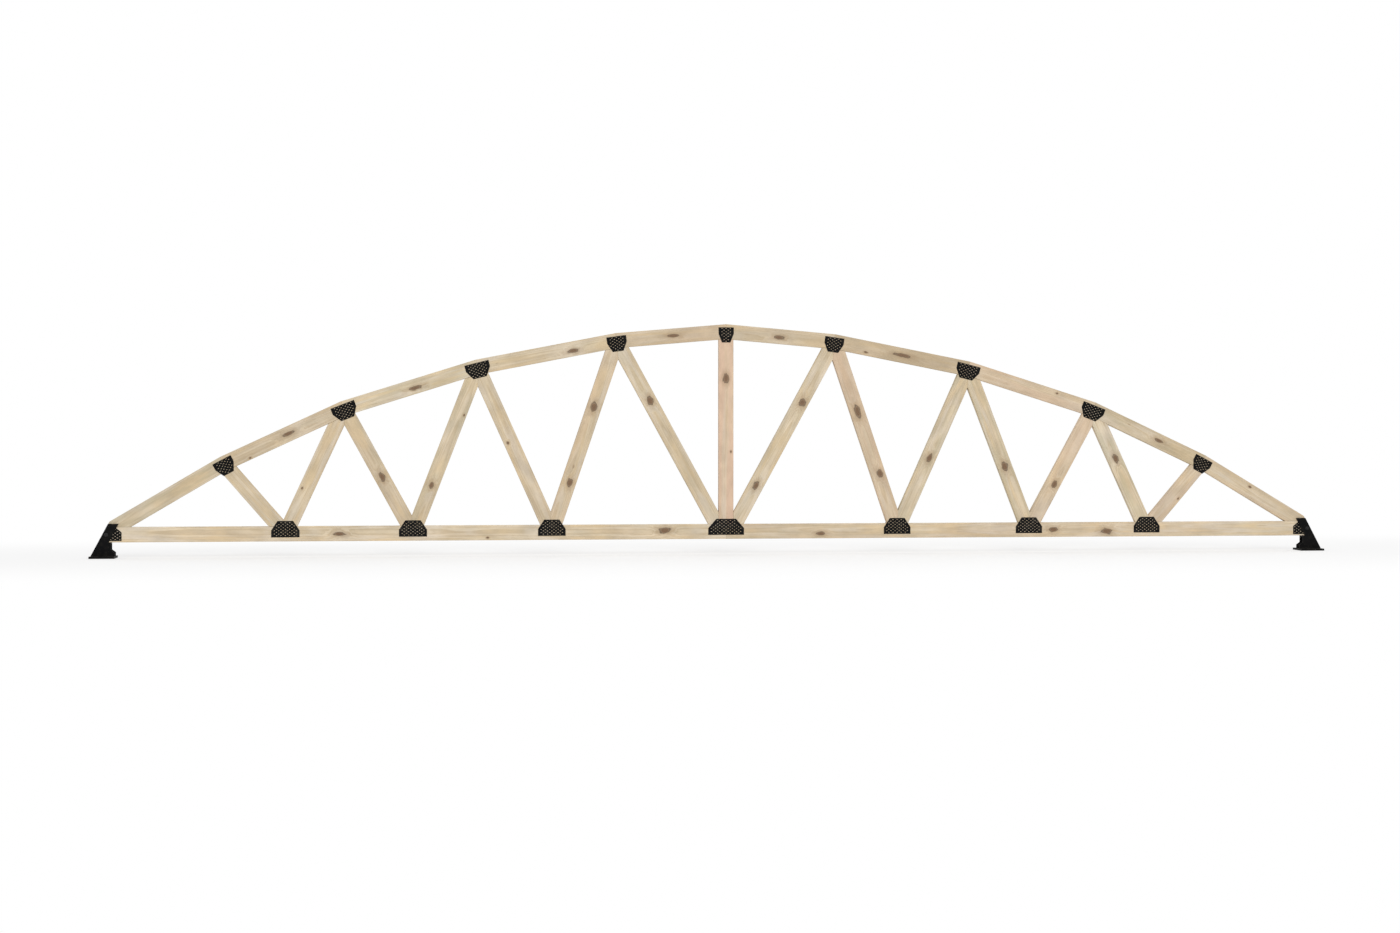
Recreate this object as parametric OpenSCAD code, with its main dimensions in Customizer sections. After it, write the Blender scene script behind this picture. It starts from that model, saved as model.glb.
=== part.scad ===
// Bowed wooden roof truss of sawn lumber, with black toothed connector plates on both faces
// of every joint, standing on two steel bearing shoes.
// X runs along the span, Z points up, and Y goes through the thickness.

/* [Truss] */
// Distance between the two heel points, where the chord centre lines cross
span = 7315; // [6500:5:8500]
// Height of the apex over the heel points, measured on the chord centre lines
rise = 1200; // [1050:5:1400]

/* [Lumber] */
// Width of every stick, seen from the front
stick_width = 89; // [80:1:95]
// Thickness of every stick
stick_thick = 38; // [32:1:45]
// Flat that eases the four long edges of a stick
edge_ease = 2.5; // [1:0.5:4]
// Gap left by the saw where two sticks butt
saw_gap = 0.6; // [0.2:0.1:0.9]
// Distance from the heel point in to the heel's slanted end cut, on the chord's centre line
heel_cut_inset = 2; // [0:1:12]
// Angle of the heel's end cut from the level
heel_cut_angle = 62; // [55:1:75]
// Half of the space between the two middle diagonals, at the bottom chord's centre line
middle_offset = 32; // [20:1:40]

/* [Connector plates] */
// Thickness of the plate steel
plate_thick = 1.5; // [1:0.1:3]
// Width of the plates on the top chord
top_plate_width = 90; // [80:1:100]
// Length of the plate at the apex
apex_plate_length = 92; // [80:1:120]
// Length of the plates at the top joints next to the apex and next to the heels
short_plate_length = 118; // [100:1:140]
// Length of the plates at the other top joints
long_plate_length = 146; // [120:1:170]
// Distance of a top plate's middle below the chord's centre line
top_plate_drop = 20; // [15:1:30]
// Width of the plates on the bottom chord
bottom_plate_width = 96; // [80:1:110]
// Length of the plates on the bottom chord
bottom_plate_length = 164; // [130:1:180]
// Length of the plate under the king post
middle_plate_length = 216; // [180:1:240]
// Distance of a bottom plate's middle above the chord's centre line
bottom_plate_lift = 28; // [20:1:35]
// Width of the heel plates
heel_plate_width = 92; // [80:1:100]
// Length of the heel plates along their lower edge
heel_plate_length = 123; // [110:1:135]
// Distance from the heel's end cut to the edge of the heel plate that runs along it
heel_plate_rim = 5; // [3:0.5:9]
// Distance of the heel plate's middle above the chord's centre line
heel_plate_lift = 10; // [5:1:20]

/* [Plate slots] */
// Length of a slot, from which two teeth are bent into the wood
slot_length = 12.7; // [8:0.1:16]
// Width of a slot
slot_width = 3.2; // [2:0.1:5]
// Spacing of the slots along a row
slot_pitch = 25.4; // [20:0.1:32]
// Spacing of the rows
row_pitch = 9.5; // [7:0.1:14]
// Least rim between a slot and the plate's edge
slot_rim = 4; // [3:0.5:8]

/* [Bearing shoes] */
// Height of the seat above the floor
seat_height = 92; // [70:1:130]
// Distance from the heel point in to the middle of the shoe
shoe_inset = 4; // [0:1:10]
// Length of the base plate, along the span
base_length = 146; // [142:1:180]
// Width of the base plate, across the truss
base_width = 140; // [130:1:220]
// Thickness of the base plate
base_thick = 12; // [8:1:16]
// Length of a cheek at its foot
cheek_foot = 138; // [134:1:140]
// Height of a cheek at the inner end of its foot
toe_height = 34; // [20:1:40]
// Height at which a cheek's neck starts to widen into the foot
waist_height = 50; // [42:1:60]
// Length of a cheek at its neck, level with the seat, and of the seat
cheek_neck = 74; // [66:1:84]
// Length of a cheek's arm, which stands beside the heel
cheek_arm = 60; // [50:1:64]
// Height of a cheek's top edge above the chord's centre line
cheek_reach = 64; // [50:1:75]
// Thickness of a cheek
cheek_thick = 6; // [4:0.5:10]
// Room between a cheek and the heel plate inside it
cheek_room = 0.3; // [0.1:0.1:0.6]
// Thickness of the seat between the cheeks
seat_thick = 8; // [5:1:12]
// Diameter of the two anchor holes in the base plate
anchor_hole_d = 14; // [10:0.5:18]
// Spacing of the two anchor holes, across the truss
anchor_pitch = 96; // [90:1:104]

/* [Heel bolts] */
// Distance from the heel point in to the bolt
bolt_inset = 24; // [18:1:30]
// Diameter of the bolt's shank
bolt_d = 12; // [8:0.5:14]
// Room around the shank in its holes, on the radius
bolt_room = 0.5; // [0.2:0.1:1]
// Width across the flats of the head and the nut
hex_flats = 18; // [16:0.5:20]
// Diameter of the flange under the head and the nut
flange_d = 25; // [24:0.5:28]
// Thickness of the flange
flange_thick = 2; // [1:0.5:4]
// Height of the head above its flange
head_height = 6; // [5:0.5:9]
// Height of the nut above its flange
nut_height = 9; // [7:0.5:12]
// Room between the shank and the nut, on the radius
nut_room = 0.2; // [0.1:0.1:0.4]
// Length of shank that stands out of the nut
shank_end = 5; // [2:0.5:12]

/* [Hidden] */
// Joints of the top chord, from the apex out, as shares of half the span
top_joint_shares = [0.18, 0.406, 0.62, 0.81];
// Heights of those joints over the heel points, as shares of the rise
top_joint_heights = [0.953, 0.819, 0.614, 0.344];
// Joints of the bottom chord, from the middle out, as shares of half the span
bottom_joint_shares = [0.286, 0.51, 0.713];
// Length of a plate along its web side, as a share of its length
plate_neck_share = 0.55;
// Width over which a plate keeps its full length, as a share of its width
plate_shoulder_share = 0.42;
// Where the heel plate's upper inner corner is cut off, as shares of its upper edge and its width
heel_corner_shares = [0.3, 0.55];
// Length that cutting shapes run on past what they cut
overrun = 20;

half_span = span / 2;
chord_height = seat_height + stick_width / 2;
cheek_gap = stick_thick + 2 * (plate_thick + cheek_room);
bolt_grip = cheek_gap + 2 * cheek_thick;
lumber_tone = "#CFBB97";
steel_tone = "#1C1C1E";
bolt_tone = "#2A2A2C";
$fn = 48;

// Shares of every joint, from the left heel to the right
top_line_shares = concat([-1], -reversed(top_joint_shares), [0], top_joint_shares, [1]);
top_line_heights = concat([0], reversed(top_joint_heights), [1], top_joint_heights, [0]);
bottom_line_shares = concat(-reversed(bottom_joint_shares), [0], bottom_joint_shares);
// Points of every joint in the XZ plane, on the chord centre lines
top_line = [for (i = [0 : len(top_line_shares) - 1])
    [top_line_shares[i] * half_span, chord_height + top_line_heights[i] * rise]];
bottom_line = [for (share = bottom_line_shares) [share * half_span, chord_height]];
// Lengths of the plates at the top joints, from the apex out
top_plate_lengths = [apex_plate_length, short_plate_length, long_plate_length, long_plate_length,
    short_plate_length];

chord_count = len(top_line) - 1;
top_plate_count = len(top_line) - 2;
bottom_plate_count = len(bottom_line);
web_count = 2 * (len(top_joint_shares) + len(bottom_joint_shares));
side_names = ["left", "right"];

function reversed(list) = [for (i = [len(list) - 1 : -1 : 0]) list[i]];
function unit(v) = v / norm(v);
function left_of(v) = [-v[1], v[0]];

// The part of an outline on the side of point p that normal n points to
function clip(outline, p, n) = [
    for (i = [0 : len(outline) - 1])
        let (
            a = outline[i],
            b = outline[(i + 1) % len(outline)],
            da = (a - p) * n,
            db = (b - p) * n)
        each concat(da >= 0 ? [a] : [], da * db < 0 ? [a + (b - a) * da / (da - db)] : [])];

function clip_all(outline, cuts, i = 0) =
    i == len(cuts) ? outline : clip_all(clip(outline, cuts[i][0], cuts[i][1]), cuts, i + 1);

// The outline of a stick along the line from a to b, before its ends are sawn
function strip(a, b) =
    let (
        d = unit(b - a),
        n = left_of(d) * (stick_width / 2 + overrun),
        p = a - d * stick_width * 2,
        q = b + d * stick_width * 2)
    [p - n, q - n, q + n, p + n];

// The cut between two sticks that leave joint p along unit directions own and other
function butt_cut(p, own, other) =
    let (n = unit(own - other))
    [p + n * saw_gap / 2, n];

// The cut along the underside of top chord stick i, counted from 0
function under_chord(i) =
    let (n = left_of(unit(top_line[i + 1] - top_line[i])))
    [top_line[i] - n * (stick_width / 2 + saw_gap), -n];

// The cut along the upper edge of the bottom chord
over_chord = [[0, chord_height + stick_width / 2 + saw_gap], [0, 1]];

// The slanted cut across the end of a heel
function heel_cut(side) = [
    [side * (half_span - heel_cut_inset), chord_height],
    [-side * sin(heel_cut_angle), -cos(heel_cut_angle)]];

// Webs count from 0 at the left heel, and the right half mirrors the left
function web_on_left(k) = k < web_count / 2;
function web_left_twin(k) = web_on_left(k) ? k : web_count - 1 - k;
function web_top(k) =
    let (i = floor((web_left_twin(k) + 1) / 2) + 1)
    web_on_left(k) ? i : chord_count - i;
function web_bottom(k) =
    let (i = floor(web_left_twin(k) / 2))
    web_on_left(k) ? i : bottom_plate_count - 1 - i;
function web_at_middle(k) = web_bottom(k) == (bottom_plate_count - 1) / 2;
function web_side(k) = web_on_left(k) ? -1 : 1;
function web_head(k) = top_line[web_top(k)];
function web_foot(k) =
    bottom_line[web_bottom(k)] + (web_at_middle(k) ? [web_side(k) * middle_offset, 0] : [0, 0]);

// The cuts that part web k from the webs that meet it at either end, and from the king post
function web_neighbour_cuts(k) = concat(
    [for (j = [k - 1, k + 1])
        if (j >= 0 && j < web_count && web_top(j) == web_top(k))
            butt_cut(web_head(k), unit(web_foot(k) - web_head(k)), unit(web_foot(j) - web_head(j)))],
    [for (j = [k - 1, k + 1])
        if (j >= 0 && j < web_count && !web_at_middle(k) && web_bottom(j) == web_bottom(k))
            butt_cut(web_foot(k), unit(web_head(k) - web_foot(k)), unit(web_head(j) - web_foot(j)))],
    web_at_middle(k)
        ? [[[web_side(k) * (stick_width / 2 + saw_gap), 0], [web_side(k), 0]]]
        : []);

function eased_section() =
    let (
        w = stick_width / 2,
        t = stick_thick / 2,
        e = edge_ease)
    [[w - e, t], [w, t - e], [w, e - t], [w - e, -t], [e - w, -t], [-w, e - t], [-w, t - e], [e - w, t]];

// A stick along the line from a to b in the XZ plane, with its ends sawn by the cuts
module stick(a, b, cuts) {
    middle = (a + b) / 2;
    outline = clip_all(strip(a, b), cuts);
    lean = atan2(b[1] - a[1], b[0] - a[0]);
    color(lumber_tone)
    translate([middle[0], 0, middle[1]])
    intersection() {
        rotate([90, 0, 0])
        linear_extrude(height = stick_thick + 2 * overrun, center = true)
        polygon([for (p = outline) p - middle]);
        rotate([0, 90 - lean, 0])
        linear_extrude(height = norm(b - a) + stick_width * 4 + overrun, center = true)
        polygon(eased_section());
    }
}

// Stick i of the top chord, counted from 1 at the left heel
module top_chord(i) {
    a = top_line[i - 1];
    b = top_line[i];
    d = unit(b - a);
    cuts = concat(
        i > 1 ? [butt_cut(a, d, unit(top_line[i - 2] - a))] : [over_chord, heel_cut(-1)],
        i < chord_count ? [butt_cut(b, -d, unit(top_line[i + 1] - b))] : [over_chord, heel_cut(1)]);
    stick(a, b, cuts);
}

// Half of the bottom chord, spliced at the middle of the span
module bottom_chord(side) {
    heel = [side * half_span, chord_height];
    middle = [0, chord_height];
    cuts = [heel_cut(side), [[side * saw_gap / 2, 0], [side, 0]]];
    color(lumber_tone)
    difference() {
        stick(middle, heel, cuts);
        at_heel_bolt(side)
        cylinder(r = bolt_d / 2 + bolt_room, h = stick_thick + overrun, center = true);
    }
}

// Web k, counted from 1 at the left heel
module web(k) {
    i = k - 1;
    chords = [under_chord(web_top(i) - 1), under_chord(web_top(i))];
    stick(web_foot(i), web_head(i), concat([over_chord], chords, web_neighbour_cuts(i)));
}

module king_post() {
    apex = chord_count / 2;
    stick([0, chord_height], top_line[apex], [over_chord, under_chord(apex - 1), under_chord(apex)]);
}

// An outline turned over left to right, still running anticlockwise
function flipped(outline) =
    [for (i = [len(outline) - 1 : -1 : 0]) [-outline[i][0], outline[i][1]]];

// Least distance of points from the edges of an outline that they lie inside
function depth_inside(outline, points) = min([
    for (i = [0 : len(outline) - 1], p = points)
        left_of(unit(outline[(i + 1) % len(outline)] - outline[i])) * (p - outline[i])]);

// A plate that narrows towards the webs, which lie on its +Y side
function tapered_outline(length, width) =
    let (
        shoulder = width * (plate_shoulder_share - 1 / 2),
        neck = length * plate_neck_share)
    [[-length / 2, -width / 2], [length / 2, -width / 2], [length / 2, shoulder],
        [neck / 2, width / 2], [-neck / 2, width / 2], [-length / 2, shoulder]];

// The left heel's plate: its outer edge runs along the heel cut, and its upper inner corner is cut off
function heel_outline() =
    let (
        l = heel_plate_length / 2,
        w = heel_plate_width / 2,
        outer = heel_plate_width / tan(heel_cut_angle) - l)
    [[-l, -w], [l, -w], [l, heel_plate_width * heel_corner_shares[1] - w],
        [outer + (l - outer) * heel_corner_shares[0], w], [outer, w]];

// Slots in staggered rows, left out where they would come near the rim or the hole
module slots(outline, hole, hole_r) {
    spread = max([for (p = outline) norm(p)]);
    across = ceil(spread / row_pitch);
    along = ceil(spread / slot_pitch);
    for (r = [-across : across], c = [-along : along])
        let (
            p = [(c + abs(r % 2) / 2) * slot_pitch, r * row_pitch],
            corners = [for (x = [-1, 1], y = [-1, 1]) p + [x * slot_length, y * slot_width] / 2])
        if (depth_inside(outline, corners) >= slot_rim
            && (hole_r == 0 || norm(p - hole) >= hole_r + slot_length / 2 + slot_rim))
            translate(p)
            square([slot_length, slot_width], center = true);
}

// The front and the back plate of a joint, at point p in the XZ plane and turned by lean
module plate_pair(p, lean, outline, hole = [0, 0], hole_r = 0) {
    color(steel_tone)
    for (face = [-1, 1])
        translate([p[0], face * (stick_thick + plate_thick) / 2, p[1]])
        rotate([0, -lean, 0])
        rotate([90, 0, 0])
        linear_extrude(height = plate_thick, center = true)
        difference() {
            polygon(outline);
            slots(outline, hole, hole_r);
            if (hole_r > 0)
                translate(hole)
                circle(r = hole_r);
        }
}

// Plates of top joint i, counted from 1 at the left, laid along the chord
module top_plates(i) {
    along = unit(unit(top_line[i] - top_line[i - 1]) + unit(top_line[i + 1] - top_line[i]));
    length = top_plate_lengths[abs(i - chord_count / 2)];
    plate_pair(top_line[i] - left_of(along) * top_plate_drop, atan2(along[1], along[0]) + 180,
        tapered_outline(length, top_plate_width));
}

// Plates of bottom joint i, counted from 1 at the left
module bottom_plates(i) {
    length = i == (bottom_plate_count + 1) / 2 ? middle_plate_length : bottom_plate_length;
    plate_pair(bottom_line[i - 1] + [0, bottom_plate_lift], 0,
        tapered_outline(length, bottom_plate_width));
}

// Plates of a heel, drilled for the bolt
module heel_plates(side) {
    foot = (heel_plate_width / 2 - heel_plate_lift) / tan(heel_cut_angle);
    reach = half_span - heel_cut_inset + foot - heel_plate_rim / sin(heel_cut_angle) - heel_plate_length / 2;
    outline = side < 0 ? heel_outline() : flipped(heel_outline());
    hole = [side * (half_span - bolt_inset - reach), -heel_plate_lift];
    plate_pair([side * reach, chord_height + heel_plate_lift], 0, outline, hole, bolt_d / 2 + bolt_room);
}

// Places its children on the heel bolt's axis, with their Z axis pointing to the back
module at_heel_bolt(side) {
    translate([side * (half_span - bolt_inset), 0, chord_height])
    rotate([-90, 0, 0])
    children();
}

// Outer edge of the left cheek at height z, measured from the middle of the shoe
function cheek_edge(z) = -cheek_foot / 2 + (z - base_thick) / tan(heel_cut_angle);

// The left cheek: a foot that starts inside the base plate, a neck under the seat and an arm beside the heel
function cheek_outline() =
    let (
        foot = cheek_foot / 2,
        neck = cheek_edge(seat_height) + cheek_neck,
        top = chord_height + cheek_reach)
    [[-foot, base_thick / 2], [foot, base_thick / 2], [foot, toe_height], [neck, waist_height],
        [neck, seat_height], [cheek_edge(seat_height) + cheek_arm, seat_height],
        [cheek_edge(top) + cheek_arm, top], [cheek_edge(top), top], [-foot, base_thick]];

module bearing_shoe(side) {
    color(steel_tone)
    difference() {
        translate([side * (half_span - shoe_inset), 0, 0])
        union() {
            translate([0, 0, base_thick / 2])
            cube([base_length, base_width, base_thick], center = true);
            for (face = [-1, 1])
                translate([0, face * (cheek_gap + cheek_thick) / 2, 0])
                rotate([90, 0, 0])
                linear_extrude(height = cheek_thick, center = true)
                polygon(side < 0 ? cheek_outline() : flipped(cheek_outline()));
            translate([-side * (cheek_edge(seat_height) + cheek_neck / 2), 0, seat_height - seat_thick / 2])
            cube([cheek_neck, cheek_gap + cheek_thick, seat_thick], center = true);
        }
        at_heel_bolt(side)
        cylinder(r = bolt_d / 2 + bolt_room, h = bolt_grip + overrun, center = true);
        for (face = [-1, 1])
            translate([side * (half_span - shoe_inset), face * anchor_pitch / 2, base_thick / 2])
            cylinder(r = anchor_hole_d / 2, h = base_thick + overrun, center = true);
    }
}

// Hexagon of the head and the nut
module hex(height) {
    cylinder(r = hex_flats / 2 / cos(30), h = height, $fn = 6);
}

// Flanged bolt, with its head on the front cheek
module heel_bolt(side) {
    length = bolt_grip + 2 * flange_thick + nut_height + shank_end;
    color(bolt_tone)
    at_heel_bolt(side)
    translate([0, 0, -bolt_grip / 2 - flange_thick])
    union() {
        cylinder(r = bolt_d / 2, h = length);
        cylinder(r = flange_d / 2, h = flange_thick);
        translate([0, 0, -head_height])
        hex(head_height + flange_thick / 2);
    }
}

// Flanged nut on the back cheek
module heel_nut(side) {
    color(bolt_tone)
    at_heel_bolt(side)
    translate([0, 0, bolt_grip / 2])
    difference() {
        union() {
            cylinder(r = flange_d / 2, h = flange_thick);
            translate([0, 0, flange_thick / 2])
            hex(nut_height + flange_thick / 2);
        }
        cylinder(r = bolt_d / 2 + nut_room, h = 2 * (nut_height + flange_thick) + overrun, center = true);
    }
}

for (i = [0, 1]) {
    side = 2 * i - 1;
    name = side_names[i];
    bottom_chord(side);
    heel_plates(side);
    bearing_shoe(side);
    heel_bolt(side);
    heel_nut(side);
}
for (i = [1 : chord_count])
    top_chord(i);
for (i = [1 : web_count])
    web(i);
king_post();
for (i = [1 : top_plate_count])
    top_plates(i);
for (i = [1 : bottom_plate_count])
    bottom_plates(i);
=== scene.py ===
"""Bowed wooden roof truss: sawn pine sticks, toothed black connector plates and steel bearing shoes.

Sizes are in metres. X runs along the span, Z points up, and Y goes through the thickness.
"""

import math

import bpy
import numpy as np
from bpy.props import FloatProperty, FloatVectorProperty, PointerProperty
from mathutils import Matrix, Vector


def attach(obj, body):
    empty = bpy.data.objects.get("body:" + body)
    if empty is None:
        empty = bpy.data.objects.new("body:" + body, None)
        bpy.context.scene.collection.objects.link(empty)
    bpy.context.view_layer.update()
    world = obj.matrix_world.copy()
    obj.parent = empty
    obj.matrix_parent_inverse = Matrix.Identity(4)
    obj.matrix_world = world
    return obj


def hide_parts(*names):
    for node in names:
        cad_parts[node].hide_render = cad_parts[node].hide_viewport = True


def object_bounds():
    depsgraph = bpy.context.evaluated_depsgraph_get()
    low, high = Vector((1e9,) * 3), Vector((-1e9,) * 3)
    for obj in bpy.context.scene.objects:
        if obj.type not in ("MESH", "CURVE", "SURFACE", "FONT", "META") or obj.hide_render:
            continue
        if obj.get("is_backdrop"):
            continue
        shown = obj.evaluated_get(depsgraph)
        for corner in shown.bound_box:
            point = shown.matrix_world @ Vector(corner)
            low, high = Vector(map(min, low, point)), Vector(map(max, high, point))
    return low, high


bl_info = {
    "name": "Bowed roof truss",
    "version": (1, 0, 0),
    "blender": (4, 5, 0),
    "location": "3D View > Sidebar > Truss",
    "description": "Builds the lumber, plates, shoes and bolts of a bowed roof truss around its solids",
    "category": "Object",
}

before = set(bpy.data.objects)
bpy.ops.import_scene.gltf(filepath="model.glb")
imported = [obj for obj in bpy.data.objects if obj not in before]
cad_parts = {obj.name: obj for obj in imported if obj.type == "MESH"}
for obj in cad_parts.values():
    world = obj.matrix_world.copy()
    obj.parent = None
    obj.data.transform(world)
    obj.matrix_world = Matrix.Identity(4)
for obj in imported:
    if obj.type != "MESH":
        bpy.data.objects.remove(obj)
CAD_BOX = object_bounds()
BODY = "root"
SIDES = {"left": -1, "right": 1}
FRONT_AND_BACK = (-1, 1)
# Room for rounding where lengths are compared
ROUNDING = 1e-9

# Joints from the left heel to the right: shares of half the span, and heights as shares of the rise
TOP_SHARES = np.array([-1, -0.81, -0.62, -0.406, -0.18, 0, 0.18, 0.406, 0.62, 0.81, 1])
TOP_HEIGHTS = np.array([0, 0.344, 0.614, 0.819, 0.953, 1, 0.953, 0.819, 0.614, 0.344, 0])
BOTTOM_SHARES = np.array([-0.713, -0.51, -0.286, 0, 0.286, 0.51, 0.713])
WEB_COUNT = 14

# Plates: narrow edge as a share of the long one, and height of the shoulders as a share of the width
PLATE_NECK_SHARE = 0.55
PLATE_SHOULDER_SHARE = 0.42
# Cut corner of a heel plate, as shares of its upper edge and of its width
HEEL_CORNER_SHARES = (0.3, 0.55)

# Tones of each stick: how rosy, how green-grey and how dark it is, or two such rows, for its start
# and its end. Knots: share along the stick, share of the half width across, half width in metres,
# and length over width
STICK_MARKS = {
    "bottom_chord_left": (((0.15, 0.1, 0.25), (0.15, 0.0, 0.0)),
                          ((0.101, -0.15, 0.016, 2.0), (0.628, 0.1, 0.012, 2.6), (0.39, 0.7, 0.005, 1.5))),
    "bottom_chord_right": (((0.4, 0.3, 0.45), (0.15, 0.0, 0.0)),
                           ((0.158, -0.3, 0.01, 2.8), (0.552, 0.1, 0.014, 1.8), (0.644, -0.2, 0.016, 1.9))),
    "top_chord_1": ((0.05, 0.5, 0.38), ()),
    "top_chord_2": ((0.2, 0.2, 0.44), ((0.54, 0.1, 0.011, 3.2), (0.2, -0.7, 0.005, 1.6))),
    "top_chord_3": ((0.0, 0.35, 0.25), ((0.53, -0.15, 0.011, 3.4),)),
    "top_chord_4": ((0.15, 0.2, 0.41), ((0.68, -0.2, 0.011, 2.8),)),
    "top_chord_5": ((0.5, 0.0, 0.63), ((0.52, 0.1, 0.009, 3.4),)),
    "top_chord_6": ((0.2, 0.15, 0.68), ((0.49, -0.1, 0.011, 3.0),)),
    "top_chord_7": ((0.3, 0.1, 0.93), ((0.51, 0.05, 0.010, 5.0), (0.24, -0.5, 0.005, 2.0))),
    "top_chord_8": ((0.8, 0.0, 0.48), ((0.7, 0.6, 0.005, 1.5),)),
    "top_chord_9": ((0.05, 0.55, 0.6), ((0.6, 0.1, 0.010, 3.0),)),
    "top_chord_10": ((0.4, 0.1, 0.45), ((0.42, 0.55, 0.006, 1.6),)),
    "web_1": ((0.2, 0.1, 0.36), ()),
    "web_2": ((0.2, 0.15, 0.33), ((0.35, 0.6, 0.005, 1.4),)),
    "web_3": ((0.2, 0.2, 0.53), ((0.45, 0.0, 0.015, 1.7),)),
    "web_4": ((0.1, 0.45, 0.4), ((0.29, 0.1, 0.012, 1.6), (0.72, -0.6, 0.005, 1.5))),
    "web_5": ((0.2, 0.1, 0.45), ((0.55, 0.5, 0.006, 1.5),)),
    "web_6": ((0.4, 0.1, 0.49), ((0.65, 0.1, 0.018, 1.6), (0.26, -0.1, 0.015, 1.6))),
    "web_7": ((0.1, 0.25, 0.42), ((0.685, 0.0, 0.017, 1.5),)),
    "king_post": ((1.7, 0.0, 0.23), ((0.765, 0.1, 0.016, 1.7), (0.4, -0.6, 0.005, 1.6))),
    "web_8": ((0.1, 0.25, 0.39), ((0.68, -0.1, 0.018, 1.4), (0.24, 0.1, 0.016, 1.5))),
    "web_9": ((1.0, 0.0, 0.5), ((0.63, 0.1, 0.018, 2.1), (0.3, -0.15, 0.015, 1.7))),
    "web_10": ((0.1, 0.7, 0.4), ((0.45, 0.0, 0.014, 1.8),)),
    "web_11": ((0.1, 0.5, 0.34), ((0.395, 0.1, 0.017, 1.6),)),
    "web_12": ((0.7, 0.0, 0.34), ((0.38, -0.1, 0.014, 1.6),)),
    "web_13": ((0.1, 0.6, 0.22), ((0.59, 0.0, 0.015, 1.8),)),
    "web_14": ((0.6, 0.0, 0.4), ((0.5, -0.6, 0.005, 1.5),)),
}
KNOTS_A_STICK = 3
# Stands for a knot that a stick doesn't have: along, across and half width, far from every point
NO_KNOT = (9.0, 9.0, 0.01)
# How far a knot leans across its stick for each metre of depth
KNOT_LEAN = 0.15

# Sections of a stick: spacing, least number, columns over a wide face, and points of an edge's arc
SECTION_STEP = 0.03
LEAST_SECTIONS = 6
FACE_COLUMNS = 9
ARC_POINTS = 5
# Least room of a column beside the place where two cuts meet, and least difference of their slopes
COLUMN_ROOM = 0.02
LEAST_SLOPE = 1e-6
# Drift of an edge's radius along a stick: share of the radius and radians a metre of its two waves,
# pace of each edge, and power of the fade towards the ends
EDGE_DRIFT = ((0.22, 21), (0.16, 63))
DRIFT_PACES = (0.7, 1.3)
DRIFT_FADE = 8
# Pith of the tree beside a stick: distance across, depths, and lean across and in depth for each metre
PITH_ACROSS = 0.018
PITH_DEPTHS = (0.032, 0.075)
PITH_LEAN = (0.006, 0.014)
# Seed of the first stick's grain, and length of grain from one stick's stretch to the next
GRAIN_SEED = 1000
GRAIN_SHIFT = 7.3

# Noise in the lumber: repeats a metre along the grain and across it, and detail
PINE_NOISE = {
    "ragged": (26, 60, 3),
    "wobble": (1.3, 9, 2),
    "streak": (1.5, 70, 3),
    "fibre": (28, 800, 2),
    "canal": (34, 1300, 1),
    "patch": (1.1, 15, 2),
    "blotch": (4.2, 26, 3),
    "cloud": (7, 16, 3),
    "saw_lines": (190, 3, 1),
}
# How far noise and knots push the growth rings aside, in metres
RING_WOBBLE = 0.014
KNOT_PUSH = 0.012
# Repeats a metre: a ring's strength across the rings, the warmth across and along them, and pin knots
YEAR_REPEATS = 70
WARMTH_REPEATS = (75, 3.2)
PIN_KNOT_REPEATS = (4.2, 9.5, 3)

# Noise in the paint: repeats a metre along the span and across it, detail and roughness
PAINT_NOISE = {
    "cloud": (9, 9, 4, 0.6),
    "brush": (14, 70, 3, 0.5),
    "chips": (55, 55, 3, 0.65),
    "peel": (420, 420, 2, 0.5),
    "rubbed": (34, 34, 5, 0.62),
}
# Painted finishes: how much finer the pattern is, roughness, gloss, and share of rubbed paint, whose grey
# patches are worn paint and also a painted lighter sheen
PAINTS = {
    "top_plate_black": (2.0, 0.38, 0.05, 0.14),
    # The bottom plates take the largest share of grey patches, a painted sheen that makes them read lighter
    # than the top plates
    "bottom_plate_black": (2.0, 0.38, 0.06, 0.32),
    "heel_plate_black": (2.0, 0.38, 0.06, 0.15),
    "shoe_black": (1.0, 0.40, 0.05, 0.10),
}
# Repeats a metre of the cloudy spots on the bolts, and of their turning marks
BOLT_CLOUD = (160, 160, 160)
BOLT_TURNING = (300, 2600, 300)

TOOTH_ARC_POINTS = 6
# Weld beads: spacing and least number of rows, and points across
WELD_STEP = 0.0009
LEAST_WELD_ROWS = 12
WELD_POINTS = 8
# Ripples of a bead: height as a share of its radius, and how far the middle lags, in radians
RIPPLE_HEIGHT = 0.07
RIPPLE_LAG = 1.6
# Bead: half of the share by which its middle is flattened, square of the size left at its ends, and
# depth of its root in the corner
BEAD_FLAT = 0.14
BEAD_END = 0.12
BEAD_ROOT = 0.0004

LATHE_COLUMNS = 96
# Rim of a flange: share of its thickness up from its seat, and share of its radius
FLANGE_RIM = ((0.0, 0.99), (0.03, 1.0), (0.25, 1.0), (0.4, 0.985))
# Height of the top of the flange's cone, as a share of the flange's thickness
CONE_SHARE = 0.9
# Crown of a hexagon: depth below its top in metres, and radius as a share of half its flats
HEX_CROWN = ((0.0014, 1.2), (0.0009, 1.09), (0.0003, 0.99))
# Radii as shares of half the flats: just past the corners, at the crown's rim and inside it
CORNER_SHARE = 1.2
CROWN_SHARE = 0.9
HEAD_MIDDLE_SHARE = 0.55
# Thread: rings in a turn, length of plain shank before it, and radii of the tip's chamfer
THREAD_RINGS = 8
THREAD_LEAD = 0.001
TIP_SHARES = (0.96, 0.84)

# Floor: half its size, lines each way, drop below the shoes, and weight of X in the distance of its fade
FLOOR_REACH = 40
FLOOR_LINES = 9
FLOOR_DROP = 0.0005
FADE_ALONG = 0.05
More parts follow.
